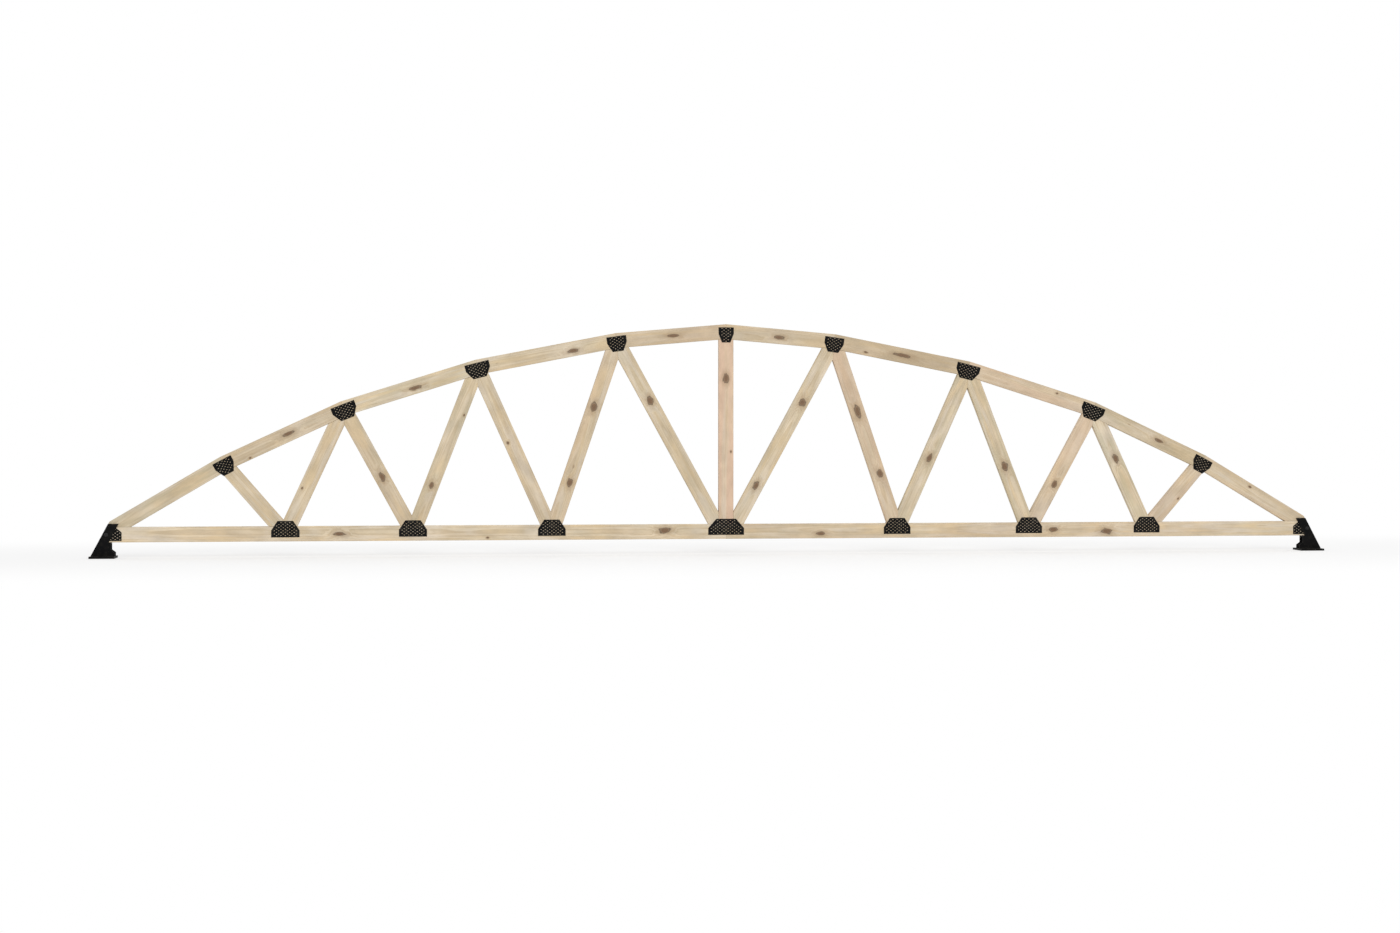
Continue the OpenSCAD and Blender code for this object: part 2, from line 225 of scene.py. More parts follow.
# Soft lights: place, aim, and width and height of the lit rectangle
LAMPS = {
    "key": ((0.0, -13.0, 8.0), (0, 0, 0.7), (10.0, 6.0)),
    "top": ((1.0, 2.5, 7.5), (0, 0, 0.5), (9.0, 4.0)),
}
SENSOR_WIDTH = 36.0
WHITE = (1, 1, 1, 1)


def length(name, about, default):
    """A length in metres that a user can change."""
    return FloatProperty(name=name, description=about, default=default, min=0, precision=5, unit="LENGTH")


def amount(name, about, default, high=1.0):
    """A plain number from 0 to a highest value."""
    return FloatProperty(name=name, description=about, default=default, min=0, max=high)


def power(name, about, default):
    """A lamp's power in watts."""
    return FloatProperty(name=name, description=about, default=default, min=0, unit="POWER")


def angle(name, about, default):
    """An angle in radians."""
    return FloatProperty(name=name, description=about, default=default, subtype="ANGLE")


def colour(name, about, default):
    """A colour as linear red, green and blue."""
    return FloatVectorProperty(name=name, description=about, default=default, min=0, max=1, size=3,
                               subtype="COLOR")


class TrussSizes(bpy.types.PropertyGroup):
    """Sizes of the truss, which repeat those of its solids, and of its small forms."""

    span: length("Span", "Distance between the two heel points", 7.315)
    rise: length("Rise", "Height of the apex over the heel points", 1.2)
    stick_width: length("Stick width", "Width of every stick, seen from the front", 0.089)
    stick_thick: length("Stick thickness", "Thickness of every stick", 0.038)
    edge_round: length("Edge radius", "Radius of a stick's long edges", 0.003)
    saw_gap: length("Saw gap", "Gap where two sticks butt", 0.0006)
    heel_cut_inset: length("Heel cut inset", "Distance from the heel point in to the end cut", 0.002)
    heel_cut_angle: angle("Heel cut angle", "Angle of the end cut from the level", math.radians(62))
    middle_offset: length("Middle offset", "Half of the space between the two middle diagonals", 0.032)
    seat_height: length("Seat height", "Height of the seats above the floor", 0.092)
    plate_thick: length("Plate thickness", "Thickness of the connector plates", 0.0015)
    top_plate_width: length("Top plate width", "Width of the plates on the top chord", 0.090)
    apex_plate: length("Apex plate", "Length of the plate at the apex", 0.092)
    short_plate: length("Short plate", "Length of the plates next to the apex and the heels", 0.118)
    long_plate: length("Long plate", "Length of the other top plates", 0.146)
    top_plate_drop: length("Top plate drop", "Distance of a top plate below the middle", 0.020)
    bottom_plate_width: length("Bottom plate width", "Width of the plates on the bottom chord", 0.096)
    bottom_plate: length("Bottom plate", "Length of the plates on the bottom chord", 0.164)
    middle_plate: length("Middle plate", "Length of the plate under the king post", 0.216)
    bottom_plate_lift: length("Bottom plate lift", "Distance of a bottom plate above the middle", 0.028)
    heel_plate_length: length("Heel plate length", "Length of a heel plate along its lower edge", 0.123)
    heel_plate_width: length("Heel plate width", "Width of the heel plates", 0.092)
    heel_plate_rim: length("Heel plate rim", "Distance from the heel's end cut to the heel plate", 0.005)
    heel_plate_lift: length("Heel plate lift", "Distance of a heel plate above the middle", 0.010)
    slot_length: length("Slot length", "Length of a slot that two teeth are bent from", 0.0127)
    slot_width: length("Slot width", "Width of a slot", 0.0032)
    slot_pitch: length("Slot pitch", "Spacing of the slots along a row", 0.0254)
    row_pitch: length("Row pitch", "Spacing of the rows", 0.0095)
    slot_rim: length("Slot rim", "Least rim between a slot and the plate's edge", 0.004)
    tooth_room: length("Tooth room", "Room between the root of a tooth and the rim of its slot", 0.00003)
    tooth_reach: length("Tooth reach", "Length of a tooth's root along its slot", 0.003)
    tooth_drop: length("Tooth drop", "Depth to which a tooth's root bends down", 0.0014)
    shoe_inset: length("Shoe inset", "Distance from the heel point in to the shoe's middle", 0.004)
    base_thick: length("Base thickness", "Thickness of the base plate", 0.012)
    cheek_foot: length("Cheek foot", "Length of a cheek at its foot", 0.138)
    cheek_neck: length("Cheek neck", "Length of a cheek at the seat", 0.074)
    cheek_thick: length("Cheek thickness", "Thickness of a cheek", 0.006)
    cheek_room: length("Cheek room", "Room between a cheek and the heel plate", 0.0003)
    seat_thick: length("Seat thickness", "Thickness of the seat", 0.008)
    weld_leg: length("Weld leg", "Size of the weld beads", 0.005)
    weld_ripple: length("Weld ripple", "Spacing of the ripples on a weld bead", 0.0035)
    bolt_inset: length("Bolt inset", "Distance from the heel point in to the bolt", 0.024)
    bolt_d: length("Bolt diameter", "Diameter of the shank", 0.012)
    bolt_room: length("Bolt room", "Room between the shank and the holes that it goes through", 0.0005)
    hex_flats: length("Hex flats", "Width across the flats of head and nut", 0.018)
    flange_d: length("Flange diameter", "Diameter of the flange of head and nut", 0.025)
    flange_thick: length("Flange thickness", "Thickness of the flange", 0.002)
    head_height: length("Head height", "Height of the head above its flange", 0.006)
    nut_height: length("Nut height", "Height of the nut above its flange", 0.009)
    nut_room: length("Nut room", "Room between the shank and the nut", 0.0002)
    bore_chamfer: length("Bore chamfer", "Size of the chamfer at the nut's bore", 0.0006)
    shank_end: length("Shank end", "Length of thread that stands out of the nut", 0.005)
    thread_pitch: length("Thread pitch", "Pitch of the bolt's thread", 0.00175)
    thread_depth: length("Thread depth", "Depth of the bolt's thread", 0.0009)
    tip_chamfer: length("Tip chamfer", "Length of the chamfer at the bolt's tip", 0.0008)


class PineFinish(bpy.types.PropertyGroup):
    """Colours of the lumber and the spacing of its grain."""

    early_wood: colour("Early wood", "Pale wood of a growth ring", (0.722, 0.616, 0.452))
    late_wood: colour("Late wood", "Darker line of a growth ring", (0.497, 0.384, 0.232))
    honey_wood: colour("Honey wood", "Warmer zones of the wood", (0.712, 0.558, 0.345))
    cream_wood: colour("Cream wood", "Cooler zones of the wood", (0.722, 0.645, 0.528))
    rose_wood: colour("Rose tint", "Tint of the rosy sticks", (0.70, 0.50, 0.365))
    grey_wood: colour("Green-grey tint", "Tint of the green-grey sticks", (0.475, 0.443, 0.302))
    tan_wood: colour("Tan tint", "Tint of the darker sticks", (0.406, 0.309, 0.190))
    knot_stain: colour("Knot stain", "Wood round a knot, and resin canals", (0.35, 0.235, 0.135))
    knot_brown: colour("Knot brown", "Body of a knot", (0.215, 0.122, 0.064))
    knot_dark: colour("Knot dark", "Rings and bark of a knot", (0.07, 0.042, 0.025))
    end_grain: colour("End grain", "Sawn ends", (0.50, 0.395, 0.26))
    ring_spacing: length("Ring spacing", "Width of a growth ring", 0.0048)
    relief: length("Relief", "Depth of the relief of grain and saw lines", 0.0004)
    gloss: amount("Gloss", "Strength of the wood's reflection", 0.3)


class SteelFinish(bpy.types.PropertyGroup):
    """Colours of the painted steel and of the bolts."""

    paint: colour("Black paint", "Paint of the plates and shoes", (0.004, 0.004, 0.0044))
    worn: colour("Worn paint", "Paint where it has thinned", (0.011, 0.010, 0.0095))
    # Brown-grey patches of worn paint, which also paint a lighter sheen on the steel
    rubbed: colour("Rubbed paint", "Brown-grey steel where paint has rubbed thin", (0.075, 0.066, 0.052))
    dust: colour("Dust", "Dust in chips and on the upper faces", (0.16, 0.145, 0.12))
    paint_relief: length("Paint relief", "Depth of the relief of brushed and chipped paint", 0.00025)
    bolt: colour("Bolt black", "Black finish of the bolts", (0.012, 0.012, 0.013))
    bolt_bright: colour("Rubbed bolt", "Bolt steel where the finish has rubbed off", (0.07, 0.067, 0.064))
    bolt_relief: length("Bolt relief", "Depth of the turning marks on the bolts", 0.00008)
    bolt_metal: amount("Bolt metal", "How metallic the bolts' finish is", 0.45)
    bolt_gloss: amount("Bolt gloss", "Strength of the bolts' reflection", 0.25)


class StageLooks(bpy.types.PropertyGroup):
    """Floor, light and camera."""

    floor: colour("Floor", "Colour of the floor", (0.94, 0.94, 0.94))
    fade_start: length("Fade start", "Distance at which the floor starts to turn white", 0.5)
    fade_end: length("Fade end", "Distance at which the floor is white", 2.4)
    floor_glow: amount("Floor glow", "Share of plain white in the floor next to the truss", 0.5)
    sky: amount("Sky light", "Strength of the even light from all sides", 0.62, 4)
    key_power: power("Key light", "Power of the large front light", 850)
    top_power: power("Top light", "Power of the large top light", 150)
    camera_place: FloatVectorProperty(name="Camera place", description="Where the camera stands",
                                      default=(-1.659, -12.8, 0.746), size=3, subtype="TRANSLATION")
    camera_turn: angle("Camera turn", "Turn of the camera to the right", 0.1169)
    camera_tilt: angle("Camera tilt", "Tilt of the camera upward", -0.0170)
    lens: FloatProperty(name="Lens", description="Focal length in millimetres", default=55.18)


class Wire:
    """A shader socket that takes part in Python expressions, each of which adds a Math node."""

    def __init__(self, tree, socket=None):
        self.tree, self.socket = tree, socket

    def node(self, kind, settings=None, inputs=None, output=0):
        """Adds a node, applies its settings, then sets or links its inputs, and returns an output."""
        made = self.tree.nodes.new(kind)
        for key, value in (settings or {}).items():
            setattr(made, key, value)
        for key, value in (inputs or {}).items():
            if isinstance(value, Wire):
                self.tree.links.new(value.socket, made.inputs[key])
            else:
                made.inputs[key].default_value = value
        return Wire(self.tree, made.outputs[output] if len(made.outputs) else None)

    def maths(self, operation, *values):
        """A Math node of the operation on the values."""
        return self.node("ShaderNodeMath", {"operation": operation}, dict(enumerate(values)))

    def __add__(self, other):
        return self.maths("ADD", self, other)

    def __radd__(self, other):
        return self.maths("ADD", other, self)

    def __sub__(self, other):
        return self.maths("SUBTRACT", self, other)

    def __rsub__(self, other):
        return self.maths("SUBTRACT", other, self)

    def __mul__(self, other):
        return self.maths("MULTIPLY", self, other)

    def __rmul__(self, other):
        return self.maths("MULTIPLY", other, self)

    def __truediv__(self, other):
        return self.maths("DIVIDE", self, other)

    def __rtruediv__(self, other):
        return self.maths("DIVIDE", other, self)

    def step(self, low, high):
        """0 below low, 1 above high and a smooth rise between them."""
        return self.node("ShaderNodeMapRange", {"interpolation_type": "SMOOTHSTEP"},
                         {"Value": self, "From Min": low, "From Max": high})

    def fraction(self):
        """What is left of a value after its whole part."""
        return self.maths("FRACT", self)

    def root(self):
        """The square root of a value."""
        return self.maths("SQRT", self)

    def outputs(self):
        """All outputs of the node that this socket belongs to."""
        return [Wire(self.tree, out) for out in self.socket.node.outputs]

    def parts(self):
        """The three components of a vector."""
        return self.node("ShaderNodeSeparateXYZ", {}, {0: self}).outputs()

    def attribute(self, name, output="Vector"):
        """An attribute of the mesh."""
        return self.node("ShaderNodeAttribute", {"attribute_name": name}, output=output)

    def stretched(self, *factors):
        """A vector with its components multiplied by the factors."""
        return self.node("ShaderNodeVectorMath", {"operation": "MULTIPLY"}, {0: self, 1: factors})

    def shaded(self, value):
        """A colour made darker or lighter by a value."""
        return self.node("ShaderNodeVectorMath", {"operation": "SCALE"}, {0: self, "Scale": value})

    def noise(self, detail=2.0, roughness=0.5):
        """Noise from 0 to 1 at this vector."""
        return self.node("ShaderNodeTexNoise", {}, {"Vector": self, "Scale": 1.0, "Detail": detail,
                                                    "Roughness": roughness})

    def mixed(self, factor, a, b):
        """Colour a where factor is 0, and colour b where it is 1."""
        return self.node("ShaderNodeMix", {"data_type": "RGBA"}, {0: factor, 6: rgba(a), 7: rgba(b)}, 2)

    def layered(self, base, *layers):
        """A base colour with others laid over it in turn, each as far as its mask says."""
        for mask, over in layers:
            base = self.mixed(mask, base, over)
        return base


def rgba(value):
    """A plain colour with a full alpha, or a socket as it is."""
    return value if isinstance(value, Wire) else (*value, 1.0)


def material_of(name, build, *values):
    """The material of a name, whose nodes are built on its first use."""
    material = bpy.data.materials.get(name)
    if material is None:
        material = bpy.data.materials.new(name)
        material.use_nodes = True
        material.node_tree.nodes.clear()
        build(Wire(material.node_tree), *values)
    return material


def close_material(pen, shown, roughness, height, depth, constants):
    """Joins colour, roughness and a bump of the given depth in metres to the shader and the output."""
    normal = pen.node("ShaderNodeBump", {}, {"Height": height, "Distance": depth, "Strength": 1.0})
    shader = pen.node("ShaderNodeBsdfPrincipled", {}, {"Base Color": shown, "Roughness": roughness,
                                                       "Normal": normal, **constants})
    pen.node("ShaderNodeOutputMaterial", {}, {"Surface": shader})


def nearest_knot(pen, ragged):
    """Distance to the nearest knot, counted in its half widths and made uneven by noise."""
    nearest = None
    for k in range(1, KNOTS_A_STICK + 1):
        along, across, size = pen.attribute(f"knot_{k}").parts()
        u, v = along / size, across / size
        away = (u * u + v * v).root() * (0.4 + 1.2 * ragged)
        nearest = away if nearest is None else pen.maths("MINIMUM", nearest, away)
    return nearest


def pin_knots(pen, grain):
    """Small round specks: the middles of scattered cells, in about half of the cells."""
    place = grain.stretched(*PIN_KNOT_REPEATS)
    cell = pen.node("ShaderNodeTexVoronoi", {}, {"Vector": place, "Scale": 1.0})
    distance, tint = cell.outputs()[:2]
    return (1 - distance.step(0.025, 0.075)) * tint.parts()[0].step(0.45, 0.5)


def pine_nodes(pen, finish):
    """Sawn pine: growth rings round a pith line that runs beside the stick, drawn from the grain attribute.

    A ring's number is the distance from the pith over the ring spacing, bent by noise and pushed aside by
    the knots. Knots are ellipses round the points in the knot attributes, with rings, bark and a stain.
    """
    grain = pen.attribute("grain")
    rosy, greyish, tan = pen.attribute("tone").parts()
    sawn = pen.attribute("sawn_end", "Fac")
    noise = {name: grain.stretched(along, across, across).noise(detail)
             for name, (along, across, detail) in PINE_NOISE.items()}
    ragged, streak, fibre, blotch = (noise[name] for name in ("ragged", "streak", "fibre", "blotch"))

    nearest = nearest_knot(pen, ragged)
    core = 1 - nearest.step(0.6, 1.0)
    bark = nearest.step(0.7, 0.93) * (1 - nearest.step(0.97, 1.2))
    stain = 1 - nearest.step(0.7, 2.8)
    pushed = 1 - nearest.step(0.0, 3.4)
    knot_ring = (nearest * 4.5 + ragged).fraction()
    knot = pen.mixed(knot_ring.step(0.35, 0.95) * 0.8, finish.knot_brown, finish.knot_dark)

    along, across, depth = grain.parts()
    radius = (across * across + depth * depth).root() + noise["wobble"] * RING_WOBBLE + pushed * KNOT_PUSH
    ring = (radius / finish.ring_spacing).fraction()
    late = ring.step(0.25, 0.88) * (1 - ring.step(0.90, 1.0))
    year = pen.node("ShaderNodeCombineXYZ", {}, {0: radius * YEAR_REPEATS}).noise(1.0)
    zone = {0: radius * WARMTH_REPEATS[0], 1: along * WARMTH_REPEATS[1]}
    warmth = pen.node("ShaderNodeCombineXYZ", {}, zone).noise(3.0)

    wood = pen.layered(
        finish.early_wood,
        (late * (0.25 + 0.6 * year), finish.late_wood),
        (streak.step(0.45, 0.72) * 0.45, finish.late_wood),
        (warmth.step(0.5, 0.66) * 0.85, finish.honey_wood),
        ((1 - warmth.step(0.34, 0.5)) * 0.7, finish.cream_wood),
        (rosy * (0.3 + 0.7 * noise["patch"].step(0.36, 0.62)) * 0.75, finish.rose_wood),
        (greyish * blotch.step(0.40, 0.66) * 0.8, finish.grey_wood),
        (tan * (0.35 + 0.65 * blotch), finish.tan_wood),
    )
    shown = pen.layered(
        wood.shaded(0.575 + 0.28 * fibre + 0.56 * noise["cloud"]),
        (noise["canal"].step(0.62, 0.72) * (0.12 + 0.4 * late), finish.knot_stain),
        (pin_knots(pen, grain) * 0.5, finish.knot_brown),
        (stain * (0.35 + 0.35 * streak), finish.knot_stain),
        (core * 0.95, knot),
        (bark * 0.7, finish.knot_dark),
        (sawn * 0.5, finish.end_grain),
    )
    height = late * 0.35 + fibre * 0.5 + noise["saw_lines"] * 0.35 - bark * 0.8 + sawn * ragged
    rough = 0.62 + 0.16 * fibre - 0.10 * late - 0.14 * core
    close_material(pen, shown, rough, height, finish.relief, {"Specular IOR Level": finish.gloss})


def paint_nodes(pen, finish, finer, roughness, gloss, rub_and_sheen_share):
    """Black paint on steel: thin spots, rubbed patches that are worn paint and also a painted lighter
    sheen, chips, and dust on faces that look up.
    """
    place = pen.node("ShaderNodeTexCoord", output="Object")
    up = pen.node("ShaderNodeNewGeometry", output="Normal").parts()[2]

    def noise(name, factor=1.0):
        along, across, detail, rough = PAINT_NOISE[name]
        return place.stretched(along * factor, across * factor, across * factor).noise(detail, rough)

    cloud, brush = noise("cloud", finer), noise("brush", finer)
    chips = noise("chips", finer).step(0.68, 0.74)
    # Grey patches of rubbed paint, which also stand in for a painted lighter sheen
    rubbed = noise("rubbed").step(0.46, 0.70) * rub_and_sheen_share
    shown = pen.layered(
        finish.paint,
        (cloud.step(0.35, 0.75) * (0.35 + 0.65 * brush), finish.worn),
        (rubbed, finish.rubbed),
        (chips * 0.55, finish.dust),
        (up.step(0.6, 1.0) * cloud.step(0.3, 0.8) * 0.35, finish.dust),
    )
    rough = roughness + 0.22 * cloud + 0.12 * chips + 0.1 * rubbed
    height = noise("peel") * 0.4 + brush * 0.25 - chips * 0.9 - rubbed * 0.3
    close_material(pen, shown, rough, height, finish.paint_relief, {"Specular IOR Level": gloss})


def painted_steel(finish, name):
    """The painted finish of a name."""
    return material_of(name, paint_nodes, finish, *PAINTS[name])


def bolt_nodes(pen, finish):
    """Blackened bolt steel, rubbed a little bright in cloudy spots, with fine turning marks."""
    place = pen.node("ShaderNodeTexCoord", output="Object")
    cloud = place.stretched(*BOLT_CLOUD).noise(3.0, 0.6)
    turned = place.stretched(*BOLT_TURNING).noise(1.0)
    shown = pen.mixed(cloud.step(0.48, 0.78), finish.bolt, finish.bolt_bright)
    constants = {"Metallic": finish.bolt_metal, "Specular IOR Level": finish.bolt_gloss}
    close_material(pen, shown, 0.36 + 0.28 * cloud, turned, finish.bolt_relief, constants)


def direct_rays(pen):
    """1 for rays from the camera, or from a mirror or a glass that the camera sees, and else 0."""
    camera, glossy, through = (pen.node("ShaderNodeLightPath", output=f"Is {kind} Ray")
                               for kind in ("Camera", "Glossy", "Transmission"))
    return pen.maths("MAXIMUM", pen.maths("MAXIMUM", camera, glossy), through)


def floor_nodes(pen, looks):
    """Pale matt floor that turns white with distance from the truss, and keeps its shadow near it."""
    x, y, _ = pen.node("ShaderNodeTexCoord", output="Object").parts()
    away = (x * x * FADE_ALONG + y * y).root().step(looks.fade_start, looks.fade_end)
    matt = pen.node("ShaderNodeBsdfDiffuse", {}, {"Color": rgba(looks.floor)})
    white = pen.node("ShaderNodeEmission", {}, {"Color": WHITE, "Strength": 1.0})
    glow = looks.floor_glow + (1 - looks.floor_glow) * away
    both = pen.node("ShaderNodeMixShader", {}, {0: glow * direct_rays(pen), 1: matt, 2: white})
    pen.node("ShaderNodeOutputMaterial", {}, {"Surface": both})


def grid_quads(rows, columns, close_columns=True, close_rows=False):
    """Faces between neighbouring points of a grid, as an array of four corners each."""
    r = np.arange(rows if close_rows else rows - 1)[:, None]
    c = np.arange(columns if close_columns else columns - 1)[None, :]
    r2, c2 = (r + 1) % rows, (c + 1) % columns
    corners = (r * columns + c, r * columns + c2, r2 * columns + c2, r2 * columns + c)
    return np.stack(np.broadcast_arrays(*corners), -1).reshape(-1, 4)


def facing_out(points, groups):
    """The face groups, turned over if the volume that they enclose comes out negative."""
    volume = 0.0
    for faces in groups:
        first = points[faces[:, 0]]
        for i in range(1, faces.shape[1] - 1):
            volume += np.sum(first * np.cross(points[faces[:, i]], points[faces[:, i + 1]]))
    return [faces[:, ::-1] for faces in groups] if volume < 0 else groups


def joined(shapes):
    """Several closed shapes as one list of points and one of face groups, each shape facing out."""
    points, faces, count = [], [], 0
    for shape, groups in shapes:
        faces += [group + count for group in facing_out(shape, groups)]
        points.append(shape)
        count += len(shape)
    return np.concatenate(points), faces


def put_piece(name, points, groups, material, node=None, fields=None, ends=None, sharp=35):
    """Makes a closed surface into a piece that rides on the truss, with its attributes.

    Edges that turn by more than sharp, in degrees, aren't smoothed.
    """
    points = np.asarray(points, float).reshape(-1, 3)
    groups = facing_out(points, groups)
    mesh = bpy.data.meshes.new(name)
    mesh.from_pydata(points.tolist(), [], [face for faces in groups for face in faces.tolist()])
    for key, values in (fields or {}).items():
        layer = mesh.attributes.new(key, "FLOAT_VECTOR", "POINT")
        layer.data.foreach_set("vector", np.ascontiguousarray(values, np.float32).ravel())
    if ends is not None:
        mesh.attributes.new("sawn_end", "FLOAT", "FACE").data.foreach_set("value", ends.astype(np.float32))
    mesh.materials.append(material)
    mesh.shade_smooth()
    mesh.set_sharp_from_angle(angle=math.radians(sharp))
    if mesh.validate():
        raise RuntimeError(f"{name} has broken faces")
    piece = bpy.data.objects.new(name, mesh)
    bpy.context.scene.collection.objects.link(piece)
    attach(piece, BODY)
    if node:
        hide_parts(node)


def dress_node(node, material):
    """Gives a solid of the frame a material."""
    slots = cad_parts[node].data.materials
    slots.clear()
    slots.append(material)


def unit(v):
    """A vector made one long."""
    return v / np.linalg.norm(v)


def left_of(v):
    """A flat vector turned left by a quarter turn."""
    return np.array([-v[1], v[0]])


def chord_level(sizes):
    """Height of the bottom chord's centre line, on which the heel points and the bolts lie."""
    return sizes.seat_height + sizes.stick_width / 2


def butt_distance(sizes):
    """Distance from a chord's centre line to the end of a stick that butts against its edge."""
    return sizes.stick_width / 2 + sizes.saw_gap


def cheek_face(sizes):
    """Distance from the truss's middle plane to a cheek's outer face, on which head and nut sit."""
    return sizes.stick_thick / 2 + sizes.plate_thick + sizes.cheek_room + sizes.cheek_thick


def joint_points(sizes):
    """Joints on the chord centre lines in XZ: the top chord is bowed, and the bottom chord is level."""
    half, level = sizes.span / 2, chord_level(sizes)
    top = np.stack([TOP_SHARES * half, level + sizes.rise * TOP_HEIGHTS], 1)
    bottom = np.stack([BOTTOM_SHARES * half, np.full(len(BOTTOM_SHARES), level)], 1)
    return top, bottom


def butt_cut(sizes, p, own, other):
    """The cut through p that halves the angle of two sticks, set back by half a saw gap."""
    n = unit(own - other)
    return p + n * sizes.saw_gap / 2, n


def over_chord(sizes):
    """The cut along the upper edge of the bottom chord."""
    return np.array([0, chord_level(sizes) + butt_distance(sizes)]), np.array([0.0, 1.0])


def under_chord(sizes, a, b):
    """The cut along the lower edge of the top chord's stick from a to b."""
    n = left_of(unit(b - a))
    return a - n * butt_distance(sizes), -n


def heel_cut(sizes, side):
    """The slanted cut at the end of a heel."""
    place = np.array([side * (sizes.span / 2 - sizes.heel_cut_inset), chord_level(sizes)])
    return place, np.array([-side * math.sin(sizes.heel_cut_angle), -math.cos(sizes.heel_cut_angle)])


def chord_plan(sizes):
    """Axis ends and cuts of the chords: the bottom one is spliced in the middle, the top one is mitred."""
    top, _ = joint_points(sizes)
    level, half = chord_level(sizes), sizes.span / 2
    plan = {}
    for name, side in SIDES.items():
        splice = (np.array([side * sizes.saw_gap / 2, 0]), np.array([float(side), 0]))
        cuts = [heel_cut(sizes, side), splice]
        plan[f"bottom_chord_{name}"] = (np.array([0, level]), np.array([side * half, level]), cuts)
    last = len(top) - 2
    for i in range(last + 1):
        a, b = top[i], top[i + 1]
        d = unit(b - a)
        near, far = [over_chord(sizes), heel_cut(sizes, -1)], [over_chord(sizes), heel_cut(sizes, 1)]
        if i > 0:
            near = [butt_cut(sizes, a, d, unit(top[i - 1] - a))]
        if i < last:
            far = [butt_cut(sizes, b, -d, unit(top[i + 2] - b))]
        plan[f"top_chord_{i + 1}"] = (a, b, near + far)
    return plan


def web_ends(sizes):
    """Every web from left to right: numbers of its joints above and below, side, foot and head in XZ.

    On the left, web k goes from joint k // 2 below to joint (k + 1) // 2 + 1 above, counted from 0, and
    the right side mirrors that. The feet of the two middle diagonals stay apart.
    """
    top, bottom = joint_points(sizes)
    ends = []
    for k in range(WEB_COUNT):
        on_left = k < WEB_COUNT // 2
        twin = k if on_left else WEB_COUNT - 1 - k
        t, b = (twin + 1) // 2 + 1, twin // 2
        t, b = (t, b) if on_left else (len(top) - 1 - t, len(bottom) - 1 - b)
        side = -1 if on_left else 1
        apart = side * sizes.middle_offset if b == len(bottom) // 2 else 0
        ends.append((t, b, side, bottom[b] + (apart, 0), top[t]))
    return ends


def web_plan(sizes):
    """Axis ends and cuts of webs and king post: cut to both chords, to each other and to the post."""
    top, bottom = joint_points(sizes)
    apex, middle = len(top) // 2, len(bottom) // 2

    def chord_cuts(joint):
        near, here, far = top[joint - 1:joint + 2]
        return [over_chord(sizes), under_chord(sizes, near, here), under_chord(sizes, here, far)]

    plan, ends = {}, web_ends(sizes)
    for k, (t, b, side, foot, head) in enumerate(ends):
        cuts = chord_cuts(t)
        for t2, b2, _, foot2, head2 in ends[max(k - 1, 0):k] + ends[k + 1:k + 2]:
            if t2 == t:
                cuts.append(butt_cut(sizes, head, unit(foot - head), unit(foot2 - head2)))
            if b2 == b and b != middle:
                cuts.append(butt_cut(sizes, foot, unit(head - foot), unit(head2 - foot2)))
        if b == middle:
            cuts.append((np.array([side * butt_distance(sizes), 0]), np.array([float(side), 0])))
        plan[f"web_{k + 1}"] = (foot, head, cuts)
    plan["king_post"] = (np.array([0, chord_level(sizes)]), top[apex], chord_cuts(apex))
    return plan


def end_lines(a, d, m, cuts):
    """Each cut as a line x = start + slope * s over the across coordinate s, sorted into both ends."""
    low, high = [], []
    for p, n in cuts:
        (low if n @ d > 0 else high).append(((p - a) @ n / (n @ d), -(m @ n) / (n @ d)))
    return np.array(low), np.array(high)


def face_columns(sizes, *ends):
    """Where the columns of a wide face lie in its width: evenly, and where two cuts of an end meet."""
    half, r = sizes.stick_width / 2, sizes.edge_round
    meets = [(p[0] - q[0]) / (q[1] - p[1]) for lines in ends for i, p in enumerate(lines)
             for q in lines[:i] if abs(q[1] - p[1]) > LEAST_SLOPE]
    meets = np.array([(s + half - r) / (2 * half - 2 * r) for s in meets if abs(s) < half - 1.5 * r])
    columns = np.linspace(0, 1, FACE_COLUMNS)[1:-1]
    if len(meets):
        columns = columns[np.min(np.abs(columns[:, None] - meets), 1) > COLUMN_ROOM]
    return np.sort(np.concatenate([columns, meets]))


def edge_radii(sizes, share, run, seed):
    """Radii of a stick's four edges along it: the edge radius times a drift of two waves.

    The drift fades out towards both ends.
    """
    draw = np.random.default_rng(seed)
    paces, phases = draw.uniform(*DRIFT_PACES, (2, 4)), draw.uniform(0, 2 * math.pi, (2, 4))
    drift = sum(part * np.sin(share * run * waves * pace + phase)
                for (part, waves), pace, phase in zip(EDGE_DRIFT, paces, phases))
    return sizes.edge_round * (1 + drift * (1 - (2 * share - 1) ** DRIFT_FADE))


def half_section(sizes, low_r, high_r, columns):
    """Across and depth of one wide face with its two edges: a quarter arc, the flat, and a quarter arc."""
    half, thick = sizes.stick_width / 2, sizes.stick_thick / 2
    arc = np.linspace(0, math.pi / 2, ARC_POINTS)
    rise, fall = 1 - np.cos(arc), 1 - np.sin(arc)
    flat = (1 - columns) * (low_r - half) + columns * (half - high_r)
    across = [low_r * rise - half, flat, (half - high_r * rise)[:, ::-1]]
    depth = [thick - low_r * fall, np.full_like(flat, thick), (thick - high_r * fall)[:, ::-1]]
    return np.concatenate(across, 1), np.concatenate(depth, 1)


